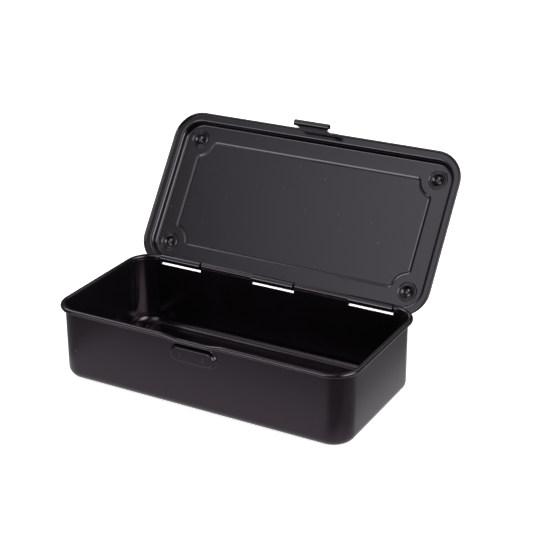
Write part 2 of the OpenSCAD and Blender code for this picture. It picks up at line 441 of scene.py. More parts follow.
@dataclass
class Web:
    """Flat middle of a pan, pressed with domes and lines, that closes the two sides of a swept strip.

    Attributes:
        relief: Height of the pressings over a place, for points without their own height.
        lines: Closed lines of points that are pressed, each with its own height.
        rounds: (x, y, radius) of places that need fine points.
        clear: Test of whether a place is clear of the pressed lines.
        spacing: Distance between points elsewhere.
        fine: Distance between points in the fine places.
    """

    relief: Relief
    lines: list[tuple[list[Pair], float]] = field(default_factory=list)
    rounds: list[tuple[float, float, float]] = field(default_factory=list)
    clear: Callable[[float, float], bool] = lambda x, y: True
    spacing: float = 5.0
    fine: float = 0.42

    def fill(self, work: bmesh.types.BMesh, inner_z: float, outer_z: float) -> None:
        """Adds both faces of the middle to a swept strip.

        Args:
            work: The strip, open along two flat edges.
            inner_z: Height of the edge on the inside of the pan.
            outer_z: Height of the edge on the outside of the pan.
        """
        open_edges = [e for e in work.edges if e.is_boundary]

        def on_level(edge: bmesh.types.BMEdge, level: float) -> bool:
            return all(abs(v.co.z / MM - level) < 0.01 for v in edge.verts)

        inner_edges = [e for e in open_edges if on_level(e, inner_z)]
        outer_verts = {v for e in open_edges if on_level(e, outer_z) for v in e.verts}
        rim = list(dict.fromkeys(v for e in inner_edges for v in e.verts))
        number = {v: i for i, v in enumerate(rim)}
        spots = [Vector((v.co.x / MM, v.co.y / MM)) for v in rim]
        heights: list[float | None] = [None] * len(rim)
        edges = [(number[e.verts[0]], number[e.verts[1]]) for e in inner_edges]
        reach = Vector((max(p.x for p in spots), max(p.y for p in spots)))

        for points, height in self.lines:
            first = len(spots)
            spots += [Vector(p) for p in points]
            heights += [height] * len(points)
            edges += [(first + i, first + (i + 1) % len(points)) for i in range(len(points))]
        taken = [tuple(p) for p in spots]
        free: list[Pair] = []
        for cx, cy, radius in self.rounds:
            for ring in spread(0, radius, self.fine):
                count = max(1, round(2 * math.pi * ring / (self.fine * 1.2)))
                free += arc(cx, cy, ring, 0, 360 * (1 - 1 / count), max(1, count - 1))[:count]
        for x in spread(-reach.x, reach.x, self.spacing)[1:-1]:
            for y in spread(-reach.y, reach.y, self.spacing)[1:-1]:
                if all(math.hypot(x - cx, y - cy) > r + self.fine for cx, cy, r in self.rounds):
                    free.append((x, y))
        cells: dict[tuple[int, int], list[Pair]] = {}
        for x, y in taken:
            cells.setdefault((round(x), round(y)), []).append((x, y))
        inside = rounded_test(spots[: len(rim)])
        for x, y in free:
            near = [
                q
                for i in (-1, 0, 1)
                for j in (-1, 0, 1)
                for q in cells.get((round(x) + i, round(y) + j), [])
            ]
            if inside(x, y) and self.clear(x, y) and all(math.hypot(x - q[0], y - q[1]) > 0.25 for q in near):
                spots.append(Vector((x, y)))
                heights.append(None)

        made, _, faces, sources, _, _ = delaunay_2d_cdt(spots, edges, [], 0, 1e-5)
        by_place = {(round(v.co.x / MM, 2), round(v.co.y / MM, 2)): v for v in outer_verts}
        inner: list[bmesh.types.BMVert] = []
        outer: list[bmesh.types.BMVert] = []
        for spot, origin in zip(made, sources):
            index = origin[0] if origin else None
            if index is not None and index < len(rim):
                inner.append(rim[index])
                outer.append(by_place[(round(spot.x, 2), round(spot.y, 2))])
                continue
            height = heights[index] if index is not None else None
            if height is None:
                height = self.relief(spot.x, spot.y)
            for row, level in ((inner, inner_z), (outer, outer_z)):
                row.append(work.verts.new((spot.x * MM, spot.y * MM, (level + height) * MM)))
        for face in faces:
            work.faces.new([inner[i] for i in face])
            work.faces.new([outer[i] for i in reversed(face)])


def rounded_test(rim: Sequence[Vector]) -> Callable[[float, float], bool]:
    """Makes a test of whether a place is well inside a convex closed edge.

    Args:
        rim: Points of the edge in any order.

    Returns:
        The test.
    """
    ordered = sorted(rim, key=lambda p: math.atan2(p.y, p.x))
    pairs = zip(ordered, ordered[1:] + ordered[:1])
    sides = [(a, (b - a).normalized()) for a, b in pairs if (b - a).length > 1e-6]

    def inside(x: float, y: float) -> bool:
        return all(d.x * (y - a.y) - d.y * (x - a.x) > 0.3 for a, d in sides)

    return inside


def cut_windows(mesh: bpy.types.Mesh, windows: Sequence[Callable[[Vector], bool]]) -> None:
    """Cuts openings through both faces of a sheet and closes their edges.

    Args:
        mesh: The sheet, whose columns and rows already follow the openings.
        windows: Tests of whether the middle of a face, in millimetres, lies in an opening.
    """
    with editing(mesh) as work:
        for test in windows:
            gone = [f for f in work.faces if test(f.calc_center_median() / MM)]
            bmesh.ops.delete(work, geom=gone, context="FACES")
            bmesh.ops.bridge_loops(work, edges=[e for e in work.edges if e.is_boundary])
        loose = [v for v in work.verts if not v.link_faces]
        bmesh.ops.delete(work, geom=loose, context="VERTS")


def box_mesh(name: str, low: Vector, high: Vector) -> bpy.types.Mesh:
    """Closed box between two corners in millimetres, used only to cut."""
    place = Matrix.Translation((low + high) / 2 * MM) @ Matrix.Diagonal((*((high - low) * MM), 1))
    mesh = bpy.data.meshes.new(name)
    with editing(mesh) as work:
        bmesh.ops.create_cube(work, size=1, matrix=place)
    return mesh


def carve(mesh: bpy.types.Mesh, cutters: Sequence[bpy.types.Mesh]) -> bpy.types.Mesh:
    """Cuts closed shapes out of a closed sheet.

    Args:
        mesh: The sheet.
        cutters: The shapes to cut away.

    Returns:
        The sheet that is left.
    """
    holder = bpy.data.objects.new("carved", mesh)
    bpy.context.scene.collection.objects.link(holder)
    tools = [bpy.data.objects.new(c.name, c) for c in cutters]
    for tool in tools:
        bpy.context.scene.collection.objects.link(tool)
        cut = holder.modifiers.new(tool.name, "BOOLEAN")
        cut.operation = "DIFFERENCE"
        cut.solver = "EXACT"
        cut.object = tool
    result = settle(holder)
    for tool in tools:
        bpy.data.objects.remove(tool)
    return result


def smooth(mesh: bpy.types.Mesh, sharp_over: float = 38.0) -> None:
    """Shades a mesh smooth, apart from edges that turn by more than an angle in degrees."""
    mesh.polygons.foreach_set("use_smooth", [True] * len(mesh.polygons))
    mesh.set_sharp_from_angle(angle=math.radians(sharp_over))
    mesh.update()


def show(name: str, mesh: bpy.types.Mesh, material: bpy.types.Material) -> bpy.types.Object:
    """Puts a finished mesh in the scene.

    Args:
        name: Its name.
        mesh: The mesh.
        material: The finish of all its faces.

    Returns:
        The object.
    """
    mesh.name = name
    mesh.materials.clear()
    mesh.materials.append(material)
    mesh.polygons.foreach_set("material_index", [0] * len(mesh.polygons))
    piece = bpy.data.objects.new(name, mesh)
    bpy.context.scene.collection.objects.link(piece)
    LOG.info("%s: %d faces", name, len(mesh.polygons))
    return piece


# ---------------------------------------------------------------- finishes


class Mask(Enum):
    """Shared surface effects, each one node group."""

    PEEL = "orange_peel"
    DUST = "dust_specks"
    HAZE = "handling_haze"


@dataclass(frozen=True)
class EffectGroups:
    """The node groups that the paints share."""

    groups: dict[Mask, bpy.types.NodeTree]

    @staticmethod
    def start(mask: Mask, inputs: dict[str, float], output: str) -> tuple[bpy.types.NodeTree, dict]:
        """Starts a group.

        Args:
            mask: Which effect it makes.
            inputs: Named values and what they are set to by default.
            output: Name of its one value.

        Returns:
            The group, and its input sockets by name with the point of the surface as "Point".
        """
        tree = bpy.data.node_groups.new(mask.value, "ShaderNodeTree")
        tree.interface.new_socket(name=output, in_out="OUTPUT", socket_type="NodeSocketFloat")
        for name, value in inputs.items():
            item = tree.interface.new_socket(name=name, in_out="INPUT", socket_type="NodeSocketFloat")
            item.default_value = value
        entry = tree.nodes.new("NodeGroupInput")
        sockets = {name: entry.outputs[name] for name in inputs}
        sockets["Point"] = tree.nodes.new("ShaderNodeTexCoord").outputs["Object"]
        return tree, sockets

    @staticmethod
    def end(tree: bpy.types.NodeTree, value: Field) -> None:
        """Sends a value out of a group."""
        tree.links.new(value.socket, tree.nodes.new("NodeGroupOutput").inputs[0])

    @classmethod
    def build(cls) -> EffectGroups:
        """Builds the three groups."""
        tree, given = cls.start(Mask.PEEL, {"Scale": 700.0, "Broad": 0.5}, "Height")
        fine = add_node(
            tree, "ShaderNodeTexNoise", {"Vector": given["Point"], "Scale": given["Scale"], "Detail": 2.0}
        )
        broad = add_node(tree, "ShaderNodeTexNoise", {"Vector": given["Point"], "Scale": 60.0, "Detail": 1.0})
        cls.end(
            tree,
            Field(tree, fine.outputs[0]) + Field(tree, broad.outputs[0]) * Field(tree, given["Broad"]),
        )
        peel = tree

        tree, given = cls.start(Mask.DUST, {"Scale": 260.0, "Share": 0.06, "Radius": 0.12}, "Mask")
        cells = add_node(
            tree, "ShaderNodeTexVoronoi", {"Vector": given["Point"], "Scale": given["Scale"]}
        )
        pick = add_node(tree, "ShaderNodeSeparateColor", {0: cells.outputs["Color"]})
        radius = Field(tree, given["Radius"])
        speck = Field(tree, cells.outputs["Distance"]).ramp(radius, radius * 0.4)
        chosen = Field(tree, pick.outputs[0]).op("LESS_THAN", Field(tree, given["Share"]))
        cls.end(tree, speck * chosen * Field(tree, pick.outputs[1]))
        dust = tree

        tree, given = cls.start(Mask.HAZE, {"Scale": 22.0, "Low": 0.5, "High": 0.75}, "Mask")
        cloud = add_node(
            tree,
            "ShaderNodeTexNoise",
            {"Vector": given["Point"], "Scale": given["Scale"], "Detail": 5.0, "Roughness": 0.6},
        )
        low, high = Field(tree, given["Low"]), Field(tree, given["High"])
        cls.end(tree, Field(tree, cloud.outputs[0]).ramp(low, high))
        return cls({Mask.PEEL: peel, Mask.DUST: dust, Mask.HAZE: tree})


@dataclass(frozen=True)
class Enamel:
    """Black stoving enamel on sheet steel, new, with a little dust on it.

    Attributes:
        name: Name of the material.
        colour: Base colour.
        sheen_tint: Tint of its reflections.
        dust_colour: Colour of the specks.
        roughness: Roughness of the clean enamel.
        hazy: Roughness where it has been handled.
        peel: Height of the orange peel in metres.
        dust: Share of the places that hold a speck.
    """

    name: str
    colour: tuple[float, float, float]
    sheen_tint: tuple[float, float, float]
    dust_colour: tuple[float, float, float] = (0.12, 0.115, 0.115)
    roughness: float = 0.16
    hazy: float = 0.2
    peel: float = 0.000012
    dust: float = 0.05

    def build(self, effects: EffectGroups) -> bpy.types.Material:
        """Makes the material.

        Args:
            effects: The shared node groups.

        Returns:
            The material.
        """
        material = bpy.data.materials.new(self.name)
        material.use_nodes = True
        material.diffuse_color = (*self.colour, 1)
        tree = material.node_tree
        shader = tree.nodes["Principled BSDF"]

        def effect(mask: Mask, **values: float) -> Field:
            node = add_node(tree, "ShaderNodeGroup", node_tree=effects.groups[mask])
            for name, value in values.items():
                node.inputs[name].default_value = value
            return Field(tree, node.outputs[0])

        haze = effect(Mask.HAZE)
        specks = effect(Mask.DUST, Share=self.dust)
        peel = effect(Mask.PEEL)
        shade = add_node(
            tree,
            "ShaderNodeMix",
            {0: haze, 6: (*self.colour, 1), 7: (*(c * 1.35 for c in self.colour), 1)},
            data_type="RGBA",
        )
        dusted = add_node(
            tree,
            "ShaderNodeMix",
            {0: specks, 6: shade.outputs[2], 7: (*self.dust_colour, 1)},
            data_type="RGBA",
        )
        rough = haze * (self.hazy - self.roughness) + self.roughness
        relief = peel + specks * 2.0
        bump = add_node(
            tree, "ShaderNodeBump", {"Height": relief, "Strength": 1.0, "Distance": self.peel}
        )
        feed(tree, shader.inputs["Base Color"], dusted.outputs[2])
        feed(tree, shader.inputs["Roughness"], (rough + specks * 0.4))
        feed(tree, shader.inputs["Normal"], bump.outputs[0])
        shader.inputs["IOR"].default_value = 1.5
        shader.inputs["Specular Tint"].default_value = (*self.sheen_tint, 1)
        return material


# ---------------------------------------------------------------- the box


@dataclass
class Body:
    """Drawn pan of the box: floor, walls, boss for the latch, slots for the hinge and curled rim."""

    # Pan, outside its walls, and its sheet
    width: float = 194.2
    depth: float = 94.2
    corner: float = 13.8
    bottom: float = 6.0
    sheet: float = 0.6
    # Curled rim: height, radius and reach of its centre, and where the wall leans out to it
    rim_z: float = 46.4
    curl: float = 1.6
    curl_out: float = 1.3
    flare: float = 2.0
    curl_end: float = -98.7
    # Latch boss, as distances from the line along its middle, and its two pips
    boss_straight: float = 9.9
    boss_reach: float = 5.65
    boss_top: float = 4.0
    boss_z: float = 37.1
    boss_out: float = 2.6
    pip_x: float = 7.9
    pip_half: float = 0.65
    pip_w: float = 0.85
    pip_out: float = 0.6
    # Dip of the rim over the boss, which is level to dip_flat and gone at dip_end
    dip: float = 1.3
    dip_flat: float = 9.0
    dip_end: float = 21.0
    # Hinge slots
    slot_w: float = 30.4
    slot_z: float = 42.4
    slot_pitch: float = 67.6
    # Domes in the floor, cut from balls whose centres are sunk under it
    dome_x: float = 85.0
    dome_y: float = 35.9
    dome_r: float = 6.4
    dome_sunk: float = 4.0
    # Rows and columns of the mesh: (reach, step) round the boss and pips, steps elsewhere
    flat_edge: float = 0.4
    plain_rows: tuple[float, ...] = (14.0, 22.0)
    boss_rows: Pair = (6.6, 0.4)
    pip_rows: Pair = (1.8, 0.2)
    pip_columns: Pair = (1.2, 0.2)
    coarse: float = 12.0
    dip_step: float = 1.0
    boss_step: float = 0.45
    slot_step: float = 5.0
    back_step: float = 9.0
    closest: float = 0.12
    # Depths under the front face and heights over which the pressings fade out
    front_skin: Pair = (4.0, 3.0)
    floor_zone: Pair = (7.0, 4.0)

    def profile(self) -> list[Pair]:
        """Closed run of the sheet from the floor's top face, over the curl, to the floor's underside."""
        s, r = self.sheet, self.bottom
        heights = stops(
            (r, r + 0.5, *self.plain_rows, self.slot_z, self.rim_z - self.flare),
            *(spread(self.boss_z - h, self.boss_z + h, step) for h, step in (self.boss_rows, self.pip_rows)),
        )
        lean = self.curl_out - self.curl + s

        def leaning(face: float) -> list[Pair]:
            found = []
            for i in range(1, 7):
                t = i / 6
                found.append((face + lean * t * t * (3 - 2 * t), self.rim_z - self.flare * (1 - t)))
            return found

        inside = [(-r - self.flat_edge, s), *arc(-r, r, r - s, -90, 0, 12)]
        inside += [(-s, z) for z in heights[1:]] + leaning(-s)
        over = arc(self.curl_out, self.rim_z, self.curl, 180, self.curl_end, 30)[1:]
        under = arc(self.curl_out, self.rim_z, self.curl - s, self.curl_end, 180, 16)
        outside = list(reversed([(0.0, z) for z in heights[1:]] + leaning(0.0)))[1:]
        outside += list(reversed(arc(-r, r, r, -90, 0, 12))) + [(-r - self.flat_edge, 0.0)]
        return inside + over + under + outside

    def outline(self) -> Outline:
        """Columns that follow the boss at the front and the slots at the back."""
        a = self.width / 2 - self.corner
        reach = self.boss_straight + self.boss_reach + 0.4
        wide, fine = self.pip_columns
        front = stops(
            spread(-a, -self.dip_end, self.coarse)[1:],
            spread(-self.dip_end, self.dip_end, self.dip_step),
            spread(-reach, reach, self.boss_step),
            *(spread(k * (self.pip_x - wide), k * (self.pip_x + wide), fine) for k in (-1, 1)),
            spread(self.dip_end, a, self.coarse)[:-1],
        )
        centres = [i * self.slot_pitch for i in (-1, 0, 1)]
        back = stops(
            *(spread(c - self.slot_w / 2, c + self.slot_w / 2, self.slot_step) for c in centres),
            spread(-a, a, self.back_step)[1:-1],
        )
        tidy = [x for i, x in enumerate(front) if i == 0 or x - front[i - 1] > self.closest]
        return Outline(self.width, self.depth, self.corner, tuple(tidy), tuple(back))

    def windows(self) -> list[Callable[[Vector], bool]]:
        """Tests for the three hinge slots in the back wall."""

        def window(centre: float) -> Callable[[Vector], bool]:
            return lambda p: (
                p.y > self.depth / 2 - 3
                and p.y < self.depth / 2 + 0.5
                and abs(p.x - centre) < self.slot_w / 2
                and self.slot_z < p.z < self.rim_z
            )

        return [window(i * self.slot_pitch) for i in (-1, 0, 1)]

    def press(self, mesh: bpy.types.Mesh, material: bpy.types.Material) -> bpy.types.Mesh:
        """Presses the rim's dip, the boss, its pips and the floor domes with Geometry Nodes.

        Args:
            mesh: The plain pan.
            material: Its finish.

        Returns:
            The pressed pan.
        """
        rule = RuleTree("press_body")
        geometry = rule.entry.outputs[0]

        skin = [(self.depth / 2 - inward) * MM for inward in self.front_skin]
        x, y, z = rule.place()
        front = (-y).ramp(*skin)
        middle = x.size().ramp(rule.length("Dip end", self.dip_end), rule.length("Dip flat", self.dip_flat))
        upper = z.ramp((self.boss_z + 1) * MM, (self.rim_z - 1) * MM)
        sink = -(front * middle * upper * rule.length("Dip depth", self.dip))
        geometry = rule.shift(geometry, z=sink)

        x, y, z = rule.place()
        front = (-y).ramp(*skin)
        rise = z - rule.length("Boss height", self.boss_z)
        beyond = (x.size() - rule.length("Boss straight", self.boss_straight)).at_least(0.0)
        away = beyond.with_side(rise)
        boss = away.ramp(rule.length("Boss reach", self.boss_reach), rule.length("Boss top", self.boss_top))
        across = x.size() - rule.length("Pip place", self.pip_x)
        along = (rise.size() - rule.length("Pip half", self.pip_half)).at_least(0.0)
        pip = across.with_side(along).ramp(rule.length("Pip width", self.pip_w), self.pip_w * 0.4 * MM)
        proud = boss * rule.length("Boss out", self.boss_out) + pip * rule.length("Pip out", self.pip_out)
        geometry = rule.shift(geometry, y=-(front * proud))

        x, y, z = rule.place()
        low = z.ramp(*(height * MM for height in self.floor_zone))
        spot = (x.size() - rule.length("Dome x", self.dome_x)).with_side(
            y.size() - rule.length("Dome y", self.dome_y)
        )
        ball = rule.length("Dome radius", self.dome_r)
        cap = (ball * ball - spot * spot).at_least(0.0).op("SQRT") - rule.length("Dome sunk", self.dome_sunk)
        geometry = rule.shift(geometry, z=cap.op("SMOOTH_MAX", 0.0, 0.8 * MM) * low)

        rule.close(geometry, material)
        return rule.run(mesh)

    def build(self, material: bpy.types.Material) -> bpy.types.Object:
        """Makes the pan.

        Args:
            material: Its finish.

        Returns:
            The finished piece.
        """
        mesh = self.outline().sweep("sweep_body", self.profile(), material)
        rounds = [(sx * self.dome_x, sy * self.dome_y, 6.6) for sx in (-1, 1) for sy in (-1, 1)]
        with editing(mesh) as work:
            Web(lambda x, y: 0.0, rounds=rounds).fill(work, self.sheet, 0.0)
        cut_windows(mesh, self.windows())
        mesh = self.press(mesh, material)
        smooth(mesh)
        piece = show("body_pan_sheet", mesh, material)
        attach(piece, "box")
        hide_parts("body_pan")
        return piece


@dataclass
class LidPlace:
    """Where the lid hangs, and how it turns from closed to the rest position."""

    hinge_y: float = 48.4
    hinge_z: float = 46.4
    open_angle: float = 125.5

    def swing(self) -> Matrix:
        """Turns what is drawn closed, in metres and from the hinge's height, to the rest position."""
        to_axis = Matrix.Translation((0, -self.hinge_y * MM, 0))
        turn = Matrix.Rotation(math.radians(-self.open_angle), 4, "X")
        back = Matrix.Translation((0, self.hinge_y * MM, self.hinge_z * MM))
        return back @ turn @ to_axis

    def at_rest(self, x: float, y: float, z: float) -> Vector:
        """Rest position, in metres, of a point drawn closed in millimetres."""
        return self.swing() @ Vector((x * MM, y * MM, z * MM))


@dataclass
class Lid:
    """Drawn pan of the lid: folded edge, flange, step, and a panel pressed outwards in lines and domes."""

    place: LidPlace
    # Outline over the folded edge, and the profile from that edge to the panel
    width: float = 203.0
    depth: float = 105.2
    corner: float = 18.2
    sheet: float = 0.6
    flange: float = 6.2
    flange_z: float = 1.68
    hem_r: float = 1.0
    step_r: float = 1.3
    tray: float = 6.9
    tray_r: float = 1.5
    web_edge: float = 9.7
    # Stacking domes and the gutter round each
    dome_x: float = 85.0
    dome_y: float = 35.9
    dome_base: float = 4.0
    dome_h: float = 2.1
    dome_soft: float = 0.02
    ring_r: float = 5.3
    ring_half: float = 0.3
    ring_slope: float = 0.65
    ring_points: int = 80
    ring_h: float = 0.5
    # Frame line: half sizes, notch and fillet, and its depth at distances in from its outer edge
    frame_x: float = 84.1
    frame_y: float = 36.0
    frame_notch: float = 10.6
    frame_fillet: float = 3.2
    frame_h: float = 0.4
    frame_steps: tuple[Pair, ...] = (
        *((-0.3, 0.0), (0.0, 0.0), (0.2, 0.07), (0.45, 0.28), (0.7, 0.54), (0.95, 0.79), (1.2, 0.95)),
        *((1.35, 1.0), (1.5, 1.0), (1.6, 0.9), (1.75, 0.5), (1.9, 0.1), (2.0, 0.0), (2.35, 0.0)),
    )
    frame_clear: Pair = (-0.8, 2.9)
    # Cut-back rear edge and the gaps for the tabs, cut out to far_y
    lip_z: float = 1.45
    lip_x: float = 90.0
    lip_y: float = 49.4
    tab_y: float = 48.8
    tab_half: float = 15.0
    tab_pitch: float = 67.6
    cut_low: Pair = (-2.0, -3.0)
    tab_top: float = 4.0
    far_y: float = 60.0
    # Spacing of the rows beside the bends
    row_gap: float = 0.4
    row_near: float = 0.3
    column_step: float = 8.0
    dome_step: float = 0.36
    ring_step: float = 0.12

    def profile(self) -> list[Pair]:
        """Run of the sheet from the panel's inside, round the hem, to the panel's outside."""
        s, top = self.sheet, self.flange_z + self.sheet
        wall = self.flange
        bend_x = -wall - self.tray_r
        bend_z = self.tray - self.tray_r
        foot_x = s - wall + self.step_r
        foot_z = top + self.step_r
        gap, near = self.row_gap, self.row_near
        inside = [(-self.web_edge, self.tray), (bend_x - gap, self.tray)]
        inside += arc(bend_x, bend_z, self.tray_r, 90, 0, 8)
        inside += [(-wall, bend_z - gap), (-wall, foot_z + near)]
        inside += arc(foot_x, foot_z, self.step_r + s, 180, 270, 8)
        inside += [(foot_x + near, self.flange_z), (-2 * s - 2 * near, self.flange_z)]
        inside += arc(-2 * s - near, self.flange_z - near, near, 90, 0, 4)
        hem = arc(-s, s, s, 180, 360, 12)
        hem += arc(-self.hem_r, top - self.hem_r, self.hem_r, 0, 90, 8)
        outside = [(-self.hem_r - gap, top), (foot_x + near, top)]
        outside += list(reversed(arc(foot_x, foot_z, self.step_r, 180, 270, 6)))
        outside += [(s - wall, foot_z + near), (s - wall, bend_z - gap)]
        outside += arc(bend_x, bend_z, self.tray_r + s, 0, 90, 10)
        outside += [(bend_x - gap, self.tray + s), (-self.web_edge, self.tray + s)]
        return inside + hem + outside

    def outline(self) -> Outline:
        """Columns of the lid's edge."""
        a = self.width / 2 - self.corner
        run = tuple(spread(-a, a, self.column_step)[1:-1])
        return Outline(self.width, self.depth, self.corner, run, run, corner_steps=28)

    def relief(self, x: float, y: float) -> float:
        """Height of the domes and their rings over a place on the panel."""
        away = math.hypot(abs(x) - self.dome_x, abs(y) - self.dome_y)
        ball = (self.dome_base**2 + self.dome_h**2) / (2 * self.dome_h)
        cap = math.sqrt(max(ball**2 - away**2, 0)) - (ball - self.dome_h)
        rounded = 0.5 * (cap + math.sqrt(cap * cap + self.dome_soft))
        dome = max(cap, 0.0) if away > self.dome_base + 1 else rounded
        across = (abs(away - self.ring_r) - self.ring_half) / self.ring_slope
        t = min(max(1 - across, 0.0), 1.0)
        ring = self.ring_h * t * t * (3 - 2 * t)
        return (dome if away < self.ring_r else 0.0) + ring

    def frame_line(self, inset: float) -> list[Pair]:
        """Closed outline of the frame line.

        Args:
            inset: Distance inwards from the line's outer edge.

        Returns:
            Its points, anticlockwise.
        """
        f, notch = self.frame_fillet, self.frame_notch
        dome = Vector((self.dome_x, self.dome_y))
        first = Vector(
            (
                self.frame_x - f,
                dome.y - math.sqrt((notch + f) ** 2 - (dome.x - self.frame_x + f) ** 2),
            )
        )
        second = Vector(
            (
                dome.x - math.sqrt((notch + f) ** 2 - (dome.y - self.frame_y + f) ** 2),
                self.frame_y - f,
            )
        )

        def bearing(a: Vector, b: Vector) -> float:
            return math.degrees(math.atan2(b.y - a.y, b.x - a.x))

        quarter = [(self.frame_x - inset, y) for y in spread(0, first.y, 2)[:-1]]
        quarter += arc(first.x, first.y, f - inset, 0, bearing(first, dome), 10)
        start, end = bearing(dome, first), bearing(dome, second)
        quarter += arc(dome.x, dome.y, notch + inset, start % 360, end % 360, 20)[1:-1]
        quarter += arc(second.x, second.y, f - inset, bearing(second, dome), 90, 10)
        quarter += [(x, self.frame_y - inset) for x in spread(second.x, 0, 3)[1:]]
        left = [(-x, y) for x, y in reversed(quarter[:-1])]
        upper = quarter + left
        return upper + [(-x, -y) for x, y in upper[1:-1]]

    def build(self, material: bpy.types.Material) -> bpy.types.Object:
        """Makes the lid.

        Args:
            material: Its finish.

        Returns:
            The finished piece.
        """
        mesh = self.outline().sweep("sweep_lid", self.profile(), material)
        lines = [(self.frame_line(u), h * self.frame_h) for u, h in self.frame_steps]
        domes = [(sx * self.dome_x, sy * self.dome_y) for sx in (-1, 1) for sy in (-1, 1)]
        low, high = self.ring_r - self.ring_half, self.ring_r + self.ring_half
        slope = self.ring_slope + 0.1
        radii = [*spread(low - slope, low, self.ring_step), self.ring_r]
        radii += spread(high, high + slope, self.ring_step)
        for x, y in domes:
            for r in radii:
                ring = arc(x, y, r, 0, 360, self.ring_points)[:-1]
                lines.append((ring, self.relief(x + r, y)))
        rounds = [(x, y, radii[0] - 0.25) for x, y in domes]

        def clear(x: float, y: float) -> bool:
            away = math.hypot(abs(x) - self.dome_x, abs(y) - self.dome_y)
            inset = min(self.frame_x - abs(x), self.frame_y - abs(y), away - self.frame_notch)
            on_frame = self.frame_clear[0] < inset < self.frame_clear[1]
            return not (on_frame or radii[0] - 0.2 < away < radii[-1] + 0.2)

        web = Web(self.relief, lines, rounds, clear, fine=self.dome_step)
        with editing(mesh) as work:
            web.fill(work, self.tray, self.tray + self.sheet)
        lip_low, tab_low = self.cut_low
        near = Vector((-self.lip_x, self.lip_y, lip_low))
        cutters = [box_mesh("lip_cut", near, Vector((self.lip_x, self.far_y, self.lip_z)))]
        for i in (-1, 0, 1):
            near = Vector((i * self.tab_pitch - self.tab_half, self.tab_y, tab_low))
            far = Vector((near.x + 2 * self.tab_half, self.far_y, self.tab_top))
            cutters.append(box_mesh("tab_cut", near, far))
        mesh = carve(mesh, cutters)
        mesh.transform(self.place.swing())
        smooth(mesh)
        piece = show("lid_pan_sheet", mesh, material)
        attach(piece, "lid")
        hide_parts("lid_pan")
        return piece


@dataclass
class HingeTabs:
    """Three tabs of the lid that loop round the body's curl through the slots."""

    place: LidPlace
    pitch: float = 67.6
    width: float = 29.2
    sheet: float = 0.6
    loop_y: float = 48.8
    loop_z: float = -0.4
    loop_r: float = 2.08
    sweep: float = 270.0
    bend_points: int = 49
    count: int = 3

    def build(self, material: bpy.types.Material) -> bpy.types.Object:
        """Makes the loops with Geometry Nodes, one strip bent along an arc at each of three places.

        Args:
            material: Their finish.

        Returns:
            The finished piece.
        """
        rule = RuleTree("hinge_loops")
        middle = rule.length("Middle radius", self.loop_r + self.sheet / 2)
        bend = rule.node(
            "GeometryNodeCurveArc",
            {
                "Resolution": self.bend_points,
                "Radius": middle,
                "Start Angle": math.radians(90),
                "Sweep Angle": -math.radians(self.sweep),
            },
        )
        upright = rule.node("GeometryNodeSetCurveNormal", {"Curve": bend.outputs[0]}, mode="Z_UP")
        strip = rule.node(
            "GeometryNodeCurvePrimitiveQuadrilateral",
            {"Width": rule.length("Sheet", self.sheet), "Height": rule.length("Tab width", self.width)},
        )
        loop = rule.node(
            "GeometryNodeCurveToMesh",
            {"Curve": upright.outputs[0], "Profile Curve": strip.outputs[0], "Fill Caps": True},
        )
        turned = rule.node(
            "GeometryNodeTransform",
            {
                "Geometry": loop.outputs[0],
                "Rotation": (math.radians(90), 0, math.radians(90)),
                "Translation": (0, self.loop_y * MM, self.loop_z * MM),
            },
        )
        gap = rule.length("Pitch", self.pitch)
        first = rule.node("ShaderNodeCombineXYZ", {0: gap * (-(self.count - 1) / 2)})
        step = rule.node("ShaderNodeCombineXYZ", {0: gap})
        row = rule.node(
            "GeometryNodeMeshLine",
            {
                "Count": rule.take("Tabs", "Int", self.count),
                "Start Location": first.outputs[0],
                "Offset": step.outputs[0],
            },
        )
        copies = rule.node(
            "GeometryNodeInstanceOnPoints", {"Points": row.outputs[0], "Instance": turned.outputs[0]}
        )
        rule.close(copies.outputs[0], material)
        mesh = rule.run(bpy.data.meshes.new("hinge_seed"))
        with editing(mesh) as work:
            bmesh.ops.remove_doubles(work, verts=work.verts, dist=1e-7)
        mesh.transform(self.place.swing())
        smooth(mesh)
        piece = show("hinge_loops", mesh, material)
        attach(piece, "lid")
        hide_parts("hinge_tab_left", "hinge_tab_centre", "hinge_tab_right")
        return piece


